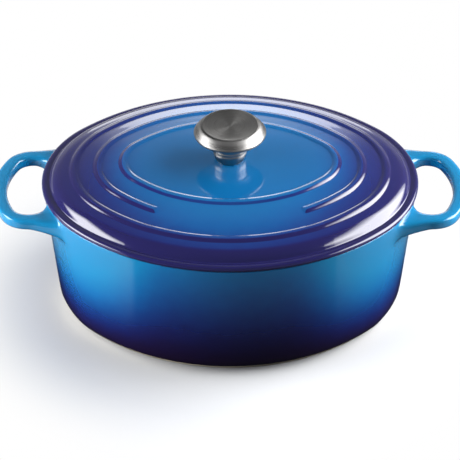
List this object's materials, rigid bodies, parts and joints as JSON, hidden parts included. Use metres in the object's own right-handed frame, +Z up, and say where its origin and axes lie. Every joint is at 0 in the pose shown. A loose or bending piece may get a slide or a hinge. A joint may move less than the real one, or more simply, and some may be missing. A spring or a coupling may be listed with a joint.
{
  "type": "oval cast iron dutch oven",
  "caption": "Oval enamelled cast iron cooking pot with loop handles, a domed lid with raised rings and a turned steel knob.",
  "frame": {"origin": "middle of the pot's flat base, on the surface it stands on", "axes": "+X along the oval's length towards one handle, +Y towards the back, +Z up; the gap in the lid's middle ring faces -Y"},
  "size_m": [0.379, 0.241, 0.1653],
  "materials": {
    "blue_enamel": "glossy vitreous enamel, shading from azure to indigo at the lid's edge and the pot's foot",
    "turned_steel": "turned satin stainless steel with fine rings",
    "fastener_steel": "plain stainless steel"
  },
  "bodies": {
    "pot_body": {"pot": "blue_enamel"},
    "lid_body": {"lid": "blue_enamel", "knob": "turned_steel", "knob_screw": "fastener_steel", "flat_washer": "fastener_steel", "lock_washer": "fastener_steel"}
  },
  "joints": [
    {"name": "lid_lift", "type": "slide", "parent": "pot_body", "child": "lid_body", "axis": [0, 0, 1], "range_m": [0, 0.2]}
  ]
}
